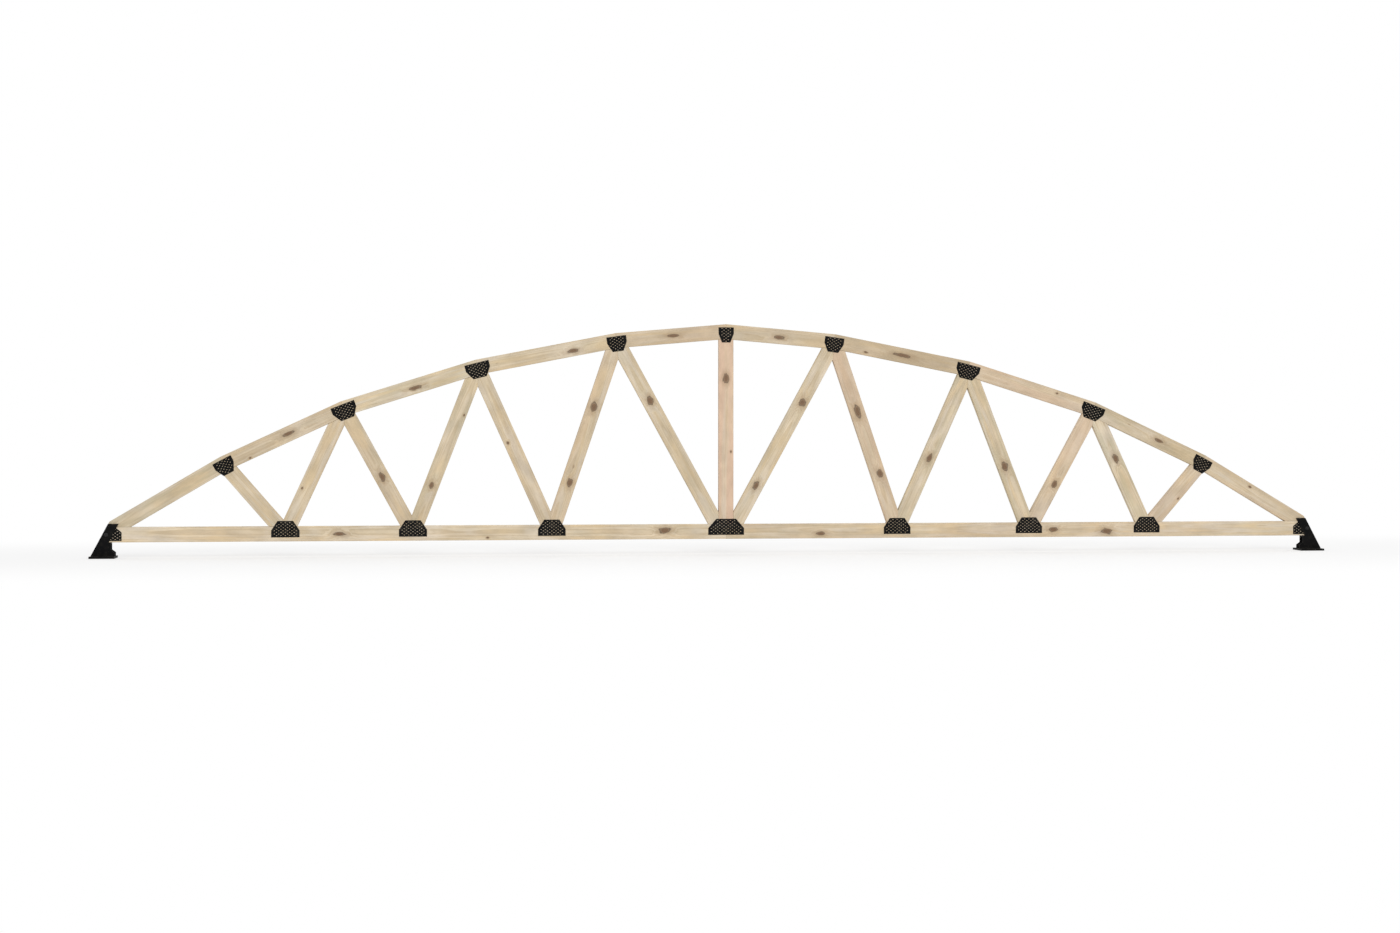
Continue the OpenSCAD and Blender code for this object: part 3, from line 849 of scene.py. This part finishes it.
def stick_surface(sizes, a, b, cuts, seed):
    """A sawn stick: a section with rounded edges carried from one sawn end to the other.

    Point (along x, across s, depth y): s and y follow two wide faces and four corner arcs, whose radius
    drifts along the length. x runs from the highest of the near cuts to the lowest of the far cuts at s.
    """
    run, d = np.linalg.norm(b - a), unit(b - a)
    m = left_of(d)
    low, high = end_lines(a, d, m, cuts)
    columns = face_columns(sizes, low, high)
    rings = max(int(run / SECTION_STEP), LEAST_SECTIONS)
    share = np.linspace(0, 1, rings)[:, None]
    radii = edge_radii(sizes, share, run, seed)
    front_s, front_y = half_section(sizes, radii[:, 0:1], radii[:, 1:2], columns)
    back_s, back_y = half_section(sizes, radii[:, 2:3], radii[:, 3:4], columns)
    s = np.concatenate([front_s, back_s[:, ::-1]], 1)
    y = np.concatenate([-front_y, back_y[:, ::-1]], 1)
    start = np.max(low[:, 0, None, None] + low[:, 1, None, None] * s, 0)
    end = np.min(high[:, 0, None, None] + high[:, 1, None, None] * s, 0)
    x = start + share * (end - start)
    points = np.stack([a[0] + d[0] * x + m[0] * s, y, a[1] + d[1] * x + m[1] * s], -1)

    n = s.shape[1]
    i = np.arange(n // 2 - 1)
    cap = np.stack([i, i + 1, n - 2 - i, n - 1 - i], 1)
    sides = grid_quads(rings, n)
    groups = [sides, cap[:, ::-1], cap + (rings - 1) * n]
    ends = np.concatenate([np.zeros(len(sides)), np.ones(2 * len(cap))])
    return points.reshape(-1, 3), groups, ends, x.ravel(), s.ravel(), y.ravel()


def stick_fields(sizes, name, run, number, x, s, y):
    """Attributes of a stick's points: place from the pith, tone, and place from each knot with its size.

    The pith is a line beside the stick that leans a little, and each stick has its own stretch of grain.
    """
    draw = np.random.default_rng(GRAIN_SEED + number)
    pith = draw.uniform(-PITH_ACROSS, PITH_ACROSS), draw.choice([-1, 1]) * draw.uniform(*PITH_DEPTHS)
    lean = [draw.uniform(-most, most) for most in PITH_LEAN]
    grain = np.stack([x + GRAIN_SHIFT * number, s - pith[0] - lean[0] * x, y - pith[1] - lean[1] * x], 1)
    tones, knots = STICK_MARKS[name]
    near, far = np.atleast_2d(tones)[[0, -1]]
    fields = {"grain": grain, "tone": near + np.clip(x / run, 0, 1)[:, None] * (far - near)}
    for k in range(KNOTS_A_STICK):
        fields[f"knot_{k + 1}"] = np.broadcast_to(NO_KNOT, grain.shape)
    for k, (place, across, size, long) in enumerate(knots):
        beside = s - across * sizes.stick_width / 2 - KNOT_LEAN * y
        fields[f"knot_{k + 1}"] = np.stack([(x - place * run) / long, beside, np.full(len(x), size)], 1)
    return fields


def saw_sticks(scene, wanted):
    """Saws the wanted sticks, each in place of its solid, with its grain, tone and knots."""
    sizes = scene.truss_sizes
    pine = material_of("sawn_pine", pine_nodes, scene.truss_pine)
    plan = {**chord_plan(sizes), **web_plan(sizes)}
    for number, (name, (a, b, cuts)) in enumerate(plan.items()):
        if wanted(name):
            points, groups, ends, x, s, y = stick_surface(sizes, a, b, cuts, number)
            fields = stick_fields(sizes, name, np.linalg.norm(b - a), number, x, s, y)
            put_piece(f"lumber_{name}", points, groups, pine, name, fields, ends)


def outline_depth(outline, points):
    """Distance of points inside a convex outline from its nearest edge."""
    step = np.roll(outline, -1, 0) - outline
    inward = np.stack([-step[:, 1], step[:, 0]], 1) / np.linalg.norm(step, axis=1)[:, None]
    return np.min(np.einsum("ek,pek->pe", inward, points[:, None] - outline[None]), 1)


def slot_places(sizes, outline, hole):
    """Middles of a plate's slots: staggered rows, kept where all four corners stay inside the rim.

    Where the plate has a bolt hole, slots near it are left out.
    """
    spread = np.max(np.linalg.norm(outline, axis=1))
    rows, columns = (math.ceil(spread / pitch) for pitch in (sizes.row_pitch, sizes.slot_pitch))
    r, c = np.meshgrid(np.arange(-rows, rows + 1), np.arange(-columns, columns + 1))
    r, c = r.ravel(), c.ravel()
    places = np.stack([(c + np.abs(r % 2) / 2) * sizes.slot_pitch, r * sizes.row_pitch], 1)
    corners = np.array([(-1, -1), (-1, 1), (1, -1), (1, 1)]) * (sizes.slot_length / 2, sizes.slot_width / 2)
    depth = np.min([outline_depth(outline, places + corner) for corner in corners], 0)
    keep = depth >= sizes.slot_rim - ROUNDING
    if hole is not None:
        clear = sizes.bolt_d / 2 + sizes.bolt_room + sizes.slot_length / 2 + sizes.slot_rim
        keep &= np.linalg.norm(places - hole, axis=1) >= clear - ROUNDING
    return places[keep]


def tooth_roots(sizes):
    """What stays in an open slot: the roots of its two teeth, bent down from its ends in quarter arcs.

    Returns points (along, across, depth below the plate's face) and the faces of the two closed shapes.
    """
    room, arc = sizes.tooth_room, np.linspace(0, math.pi / 2, TOOTH_ARC_POINTS)
    along = -sizes.slot_length / 2 + room + sizes.tooth_reach * np.sin(arc)
    near = np.stack([along, -room - sizes.tooth_drop * (1 - np.cos(arc))], 1)
    upper = np.concatenate([near, near[::-1] * (-1, 1)])
    lower = np.stack([upper[:, 0], np.full(len(upper), -sizes.plate_thick + room)], 1)
    half = sizes.slot_width / 2 - room
    rails = [(upper, -half), (upper, half), (lower, half), (lower, -half)]
    rails = [np.stack([line[:, 0], np.full(len(line), across), line[:, 1]], 1) for line, across in rails]
    corners = 4 * len(arc)
    cap = np.array([[0, 1, 2, 3]])
    root = np.concatenate([grid_quads(len(arc), 4), cap[:, ::-1], cap + corners - 4])
    return np.stack(rails, 1).reshape(-1, 3), [root, root + corners]


def set_teeth(sizes, steel, name, place, lean, outline, hole):
    """Tooth roots in every slot of a joint's front and back plate, laid out as the slots are."""
    spots = slot_places(sizes, outline, hole)
    root, groups = tooth_roots(sizes)
    along = np.array([math.cos(lean), math.sin(lean)])
    flat = spots[:, None] + root[None, :, :2]
    xz = place + flat[..., 0:1] * along + flat[..., 1:2] * left_of(along)
    face = sizes.stick_thick / 2 + sizes.plate_thick
    depth = np.broadcast_to(face + root[None, :, 2], xz.shape[:2])
    jump = np.arange(len(spots))[:, None, None] * len(root)
    repeated = [(group + jump).reshape(-1, 4) for group in groups]
    sheets = [np.stack([xz[..., 0], side * depth, xz[..., 1]], -1) for side in FRONT_AND_BACK]
    points, faces = joined((sheet.reshape(-1, 3), repeated) for sheet in sheets)
    put_piece(name, points, faces, steel, sharp=50)


def tapered_outline(long, wide):
    """A plate's outline, which narrows towards the webs on its upper side."""
    shoulder, neck = wide * (PLATE_SHOULDER_SHARE - 0.5), long * PLATE_NECK_SHARE
    return np.array([[-long / 2, -wide / 2], [long / 2, -wide / 2], [long / 2, shoulder],
                     [neck / 2, wide / 2], [-neck / 2, wide / 2], [-long / 2, shoulder]])


def heel_plate(sizes, side):
    """Place, outline and bolt hole of a heel plate: its outer edge follows the heel cut."""
    half, w, lean = sizes.heel_plate_length / 2, sizes.heel_plate_width / 2, sizes.heel_cut_angle
    outer = 2 * w / math.tan(lean) - half
    corner = outer + (half - outer) * HEEL_CORNER_SHARES[0], 2 * w * HEEL_CORNER_SHARES[1] - w
    outline = np.array([[-half, -w], [half, -w], [half, corner[1]], [corner[0], w], [outer, w]])
    if side > 0:
        outline = outline[::-1] * (-1, 1)
    foot = (w - sizes.heel_plate_lift) / math.tan(lean) - sizes.heel_plate_rim / math.sin(lean)
    reach = sizes.span / 2 - sizes.heel_cut_inset + foot - half
    place = np.array([side * reach, chord_level(sizes) + sizes.heel_plate_lift])
    hole = np.array([side * (sizes.span / 2 - sizes.bolt_inset - reach), -sizes.heel_plate_lift])
    return place, outline, hole


def plate_plan(sizes):
    """Each joint's plates: where they are and their number or side, place in XZ, lean, outline and hole."""
    top, bottom = joint_points(sizes)
    apex, middle = len(top) // 2, len(bottom) // 2
    lengths = (sizes.apex_plate, sizes.short_plate, sizes.long_plate, sizes.long_plate, sizes.short_plate)
    for i in range(1, len(top) - 1):
        along = unit(unit(top[i] - top[i - 1]) + unit(top[i + 1] - top[i]))
        place = top[i] - left_of(along) * sizes.top_plate_drop
        outline = tapered_outline(lengths[abs(i - apex)], sizes.top_plate_width)
        yield "top", i, place, math.atan2(along[1], along[0]) + math.pi, outline, None
    for i, joint in enumerate(bottom):
        long = sizes.middle_plate if i == middle else sizes.bottom_plate
        outline = tapered_outline(long, sizes.bottom_plate_width)
        yield "bottom", i + 1, joint + (0, sizes.bottom_plate_lift), 0, outline, None
    for name, side in SIDES.items():
        place, outline, hole = heel_plate(sizes, side)
        yield "heel", name, place, 0, outline, hole


def weld_runs(sizes, side):
    """Start, end and two outward directions of each weld: the cheeks' feet outside, the seat from below."""
    leg, base, under = sizes.weld_leg, sizes.base_thick, sizes.seat_height - sizes.seat_thick
    middle = side * (sizes.span / 2 - sizes.shoe_inset)
    foot = sizes.cheek_foot / 2 - leg
    edge = -sizes.cheek_foot / 2 + (sizes.seat_height - base) / math.tan(sizes.heel_cut_angle)
    near, far = sorted(middle - side * (edge + at) for at in (leg, sizes.cheek_neck - leg))
    for face in FRONT_AND_BACK:
        outer = face * cheek_face(sizes)
        inner = outer - face * sizes.cheek_thick
        yield (middle - foot, outer, base), (middle + foot, outer, base), (0, face, 0), (0, 0, 1)
        yield (near, inner, under), (far, inner, under), (0, -face, 0), (0, 0, -1)


def weld_bead(sizes, start, end, out_1, out_2):
    """A weld bead: a quarter-round fillet carried along a line, with curved ripples and tapered ends.

    Its radius is the leg times a rise and fall along the line, whose phase lags towards the middle.
    """
    start, end, out_1, out_2 = (np.asarray(v, float) for v in (start, end, out_1, out_2))
    run, leg = np.linalg.norm(end - start), sizes.weld_leg
    rows = max(int(run / WELD_STEP), LEAST_WELD_ROWS)
    share = np.linspace(0, 1, rows)[:, None]
    turn = np.linspace(0, math.pi / 2, WELD_POINTS)
    belly = np.sin(2 * turn)
    phase = 2 * math.pi * share * run / sizes.weld_ripple - RIPPLE_LAG * belly
    ripple = 1 + RIPPLE_HEIGHT * np.sin(phase) * belly
    taper = np.minimum(1, np.minimum(share, 1 - share) * run / leg + BEAD_END) ** 0.5
    radius = leg * (1 - BEAD_FLAT + BEAD_FLAT * np.cos(4 * turn)) * ripple * taper
    corner = (start + share * (end - start))[:, None]
    arc = corner + radius[..., None] * (np.cos(turn)[:, None] * out_1 + np.sin(turn)[:, None] * out_2)
    points = np.concatenate([arc, corner - BEAD_ROOT * (out_1 + out_2)], 1)
    n = points.shape[1]
    cap = np.arange(n)[None]
    return points.reshape(-1, 3), [grid_quads(rows, n), cap[:, ::-1], cap + n * (rows - 1)]


def lathe(rings, flats, wave=None):
    """A surface turned round Y, whose radius is a ring's limit, or the hexagon where that is smaller.

    Each ring is a height along Y, a limit of the radius, and 1 where the hexagon cuts that limit.
    wave gives a radius to add, from the height and the angle.
    """
    heights, limits, hexed = np.array(rings, float).T[..., None]
    turn, sixth = np.arange(LATHE_COLUMNS) * 2 * math.pi / LATHE_COLUMNS, math.pi / 3
    hexagon = flats / 2 / np.cos((turn + sixth / 2) % sixth - sixth / 2)
    radius = np.where(hexed > 0, np.minimum(limits, hexagon), limits)
    if wave:
        radius = radius + wave(heights, turn)
    high = np.broadcast_to(heights, radius.shape)
    return np.stack([radius * np.cos(turn), high, radius * np.sin(turn)], -1)


def capped(surface):
    """Points and faces of a turned surface whose first and last rings are poles."""
    rows, columns = surface.shape[:2]
    points = np.concatenate([surface[:1, 0], surface[1:-1].reshape(-1, 3), surface[-1:, 0]])
    ring, last = np.arange(columns), len(points) - 1
    after = (ring + 1) % columns
    first_fan = np.stack([np.zeros_like(ring), 1 + after, 1 + ring], 1)
    last_fan = np.stack([np.full_like(ring, last), last - columns + ring, last - columns + after], 1)
    return points, [grid_quads(rows - 2, columns) + 1, first_fan, last_fan]


def flanged_hex(sizes, seat, way, height):
    """Rings of a flanged hexagon for the lathe, from its seat outward: rim, cone, hexagon and crown."""
    flat, flange, thick = sizes.hex_flats / 2, sizes.flange_d / 2, sizes.flange_thick
    rings = [(share * thick, limit * flange, 0) for share, limit in FLANGE_RIM]
    rings += [(CONE_SHARE * thick, CORNER_SHARE * flat, 0), (thick, CORNER_SHARE * flat, 1)]
    rings += [(thick + height - depth, limit * flat, 1) for depth, limit in HEX_CROWN]
    rings.append((thick + height, CROWN_SHARE * flat, 0))
    return [(seat + way * up, limit, hexed) for up, limit, hexed in rings]


def bolt_surface(sizes):
    """A flanged bolt along Y: crowned hex head, coned flange, shank and a thread that winds up its end.

    The thread's radius dips as a triangle wave of height over pitch minus angle over a turn.
    """
    seat, shank = cheek_face(sizes), sizes.bolt_d / 2
    tip = seat + sizes.flange_thick + sizes.nut_height + sizes.shank_end
    thread_from, thread_to = seat + sizes.flange_thick / 2, tip - sizes.tip_chamfer
    head = flanged_hex(sizes, -seat, -1, sizes.head_height)
    top, inside = head[-1][0], HEAD_MIDDLE_SHARE * sizes.hex_flats / 2
    rings = [(top, 0.0, 0), (top, inside, 0), *head[::-1], (-seat, shank, 0)]
    rings.append((thread_from - THREAD_LEAD, shank, 0))
    rings += [(h, shank, 0) for h in np.arange(thread_from, thread_to, sizes.thread_pitch / THREAD_RINGS)]
    rings += [(thread_to, shank * TIP_SHARES[0], 0), (tip, shank * TIP_SHARES[1], 0), (tip, 0.0, 0)]

    def thread(height, turn):
        wound = (height / sizes.thread_pitch - turn / (2 * math.pi)) % 1
        threaded = (height >= thread_from) & (height < thread_to)
        return np.where(threaded, -sizes.thread_depth * np.abs(2 * wound - 1), 0)

    return lathe(rings, sizes.hex_flats, thread)


def nut_surface(sizes):
    """A flanged nut along Y, closed through its bore: coned flange, hex sides, crown and chamfered bore."""
    seat, bore, chamfer = cheek_face(sizes), sizes.bolt_d / 2 + sizes.nut_room, sizes.bore_chamfer
    hexagon = flanged_hex(sizes, seat, 1, sizes.nut_height)
    top = hexagon[-1][0]
    rings = [(seat, bore, 0), *hexagon, (top, bore + chamfer, 0), (top - chamfer, bore, 0)]
    return lathe(rings, sizes.hex_flats)


def lay_floor(scene, looks):
    """A flat grid just below the shoes."""
    line = np.linspace(-FLOOR_REACH, FLOOR_REACH, FLOOR_LINES)
    x, y = np.meshgrid(line, line)
    ground = np.stack([x, y, np.full_like(x, -FLOOR_DROP)], -1).reshape(-1, 3)
    mesh = bpy.data.meshes.new("floor")
    mesh.from_pydata(ground.tolist(), [], grid_quads(FLOOR_LINES, FLOOR_LINES, False).tolist())
    mesh.materials.append(material_of("pale_floor", floor_nodes, looks))
    floor = bpy.data.objects.new("floor", mesh)
    scene.collection.objects.link(floor)
    floor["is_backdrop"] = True


def set_world(scene, looks):
    """A white surround for the camera and for mirrors, which gives an even light from all sides."""
    world = bpy.data.worlds.new("white_surround")
    world.use_nodes = True
    world.node_tree.nodes.clear()
    pen = Wire(world.node_tree)
    seen = direct_rays(pen)
    strength = seen + (1 - seen) * looks.sky
    back = pen.node("ShaderNodeBackground", {}, {"Color": WHITE, "Strength": strength})
    pen.node("ShaderNodeOutputWorld", {}, {"Surface": back})
    scene.world = world


def aimed(place, aim):
    """The turn that points a lamp's -Z axis from its place to the aim."""
    x, y, z = np.asarray(aim, float) - np.asarray(place, float)
    return math.atan2(math.hypot(x, y), -z), 0, math.atan2(-x, y)


def hang_lamps(scene, looks):
    """The large soft lights, each aimed at the truss."""
    for name, (place, aim, size) in LAMPS.items():
        light = bpy.data.lights.new(f"{name}_light", "AREA")
        light.shape = "RECTANGLE"
        light.size, light.size_y = size
        light.energy = getattr(looks, f"{name}_power")
        lamp = bpy.data.objects.new(f"{name}_light", light)
        lamp.location = place
        lamp.rotation_euler = aimed(place, aim)
        scene.collection.objects.link(lamp)


def set_camera(scene, looks):
    """The camera, level but for its tilt, turned from the +Y direction."""
    lens = bpy.data.cameras.new("camera")
    lens.lens, lens.sensor_width = looks.lens, SENSOR_WIDTH
    camera = bpy.data.objects.new("camera", lens)
    camera.location = looks.camera_place
    camera.rotation_euler = (math.pi / 2 + looks.camera_tilt, 0, -looks.camera_turn)
    scene.collection.objects.link(camera)
    scene.camera = camera


class TRUSS_OT_chords(bpy.types.Operator):
    """Saws the bowed top chord and the two halves of the bottom chord"""

    bl_idname = "truss.chords"
    bl_label = "Chords"

    def execute(self, context):
        saw_sticks(context.scene, lambda name: "chord" in name)
        return {"FINISHED"}


class TRUSS_OT_webs(bpy.types.Operator):
    """Saws the slanted webs and the king post"""

    bl_idname = "truss.webs"
    bl_label = "Webs and king post"

    def execute(self, context):
        saw_sticks(context.scene, lambda name: "chord" not in name)
        return {"FINISHED"}


class TRUSS_OT_plates(bpy.types.Operator):
    """Paints the connector plates and sets the bent roots of their teeth into the slots"""

    bl_idname = "truss.plates"
    bl_label = "Connector plates"

    def execute(self, context):
        sizes = context.scene.truss_sizes
        for where, label, *layout in plate_plan(sizes):
            steel = painted_steel(context.scene.truss_steel, f"{where}_plate_black")
            set_teeth(sizes, steel, f"{where}_teeth_{label}", *layout)
            dress_node(f"{where}_plates_{label}", steel)
        return {"FINISHED"}


class TRUSS_OT_shoes(bpy.types.Operator):
    """Paints the bearing shoes and lays their weld beads"""

    bl_idname = "truss.shoes"
    bl_label = "Bearing shoes"

    def execute(self, context):
        sizes = context.scene.truss_sizes
        steel = painted_steel(context.scene.truss_steel, "shoe_black")
        for name, side in SIDES.items():
            points, faces = joined(weld_bead(sizes, *run) for run in weld_runs(sizes, side))
            put_piece(f"weld_beads_{name}", points, faces, steel, sharp=60)
            dress_node(f"bearing_shoe_{name}", steel)
        return {"FINISHED"}


class TRUSS_OT_bolts(bpy.types.Operator):
    """Turns the flanged heel bolts and their nuts"""

    bl_idname = "truss.bolts"
    bl_label = "Heel bolts"

    def execute(self, context):
        sizes = context.scene.truss_sizes
        steel = material_of("black_bolt_steel", bolt_nodes, context.scene.truss_steel)
        bolt, bolt_faces = capped(bolt_surface(sizes))
        nut = nut_surface(sizes)
        nut_faces = [grid_quads(*nut.shape[:2], True, True)]
        for name, side in SIDES.items():
            place = np.array([side * (sizes.span / 2 - sizes.bolt_inset), 0, chord_level(sizes)])
            put_piece(f"hex_bolt_{name}", bolt + place, bolt_faces, steel,
                      f"heel_bolt_{name}", sharp=28)
            put_piece(f"hex_nut_{name}", nut + place, nut_faces, steel,
                      f"heel_nut_{name}", sharp=28)
        return {"FINISHED"}


class TRUSS_OT_stage(bpy.types.Operator):
    """Lays the pale floor and sets the world, the soft lights and the camera"""

    bl_idname = "truss.stage"
    bl_label = "Floor, light and camera"

    def execute(self, context):
        scene, looks = context.scene, context.scene.truss_stage
        lay_floor(scene, looks)
        set_world(scene, looks)
        hang_lamps(scene, looks)
        set_camera(scene, looks)
        scene.view_settings.view_transform = "Standard"
        return {"FINISHED"}


OPERATORS = (TRUSS_OT_chords, TRUSS_OT_webs, TRUSS_OT_plates, TRUSS_OT_shoes, TRUSS_OT_bolts,
             TRUSS_OT_stage)
GROUPS = {
    "truss_sizes": TrussSizes,
    "truss_pine": PineFinish,
    "truss_steel": SteelFinish,
    "truss_stage": StageLooks,
}


class TRUSS_PT_panel(bpy.types.Panel):
    """Lists the steps and the sizes and colours of the truss"""

    bl_idname = "TRUSS_PT_panel"
    bl_label = "Bowed roof truss"
    bl_space_type = "VIEW_3D"
    bl_region_type = "UI"
    bl_category = "Truss"

    def draw(self, context):
        for operator in OPERATORS:
            self.layout.operator(operator.bl_idname)
        for name, group in GROUPS.items():
            box = self.layout.box()
            for key in group.__annotations__:
                box.prop(getattr(context.scene, name), key)


def register():
    """Registers the classes and hangs the groups of values on the scene."""
    for cls in (*GROUPS.values(), *OPERATORS, TRUSS_PT_panel):
        bpy.utils.register_class(cls)
    for name, group in GROUPS.items():
        setattr(bpy.types.Scene, name, PointerProperty(type=group))


def unregister():
    """Takes the groups and the classes away again."""
    for name in GROUPS:
        delattr(bpy.types.Scene, name)
    for cls in (TRUSS_PT_panel, *OPERATORS[::-1], *GROUPS.values()):
        bpy.utils.unregister_class(cls)


def main():
    """Builds the truss and its stage."""
    register()
    bpy.ops.truss.chords()
    bpy.ops.truss.webs()
    bpy.ops.truss.plates()
    bpy.ops.truss.shoes()
    bpy.ops.truss.bolts()
    bpy.ops.truss.stage()
    boxes = {"cad": CAD_BOX, "visual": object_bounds()}
    {name: [list(corner) for corner in box] for name, box in boxes.items()}


if __name__ == "__main__":
    main()
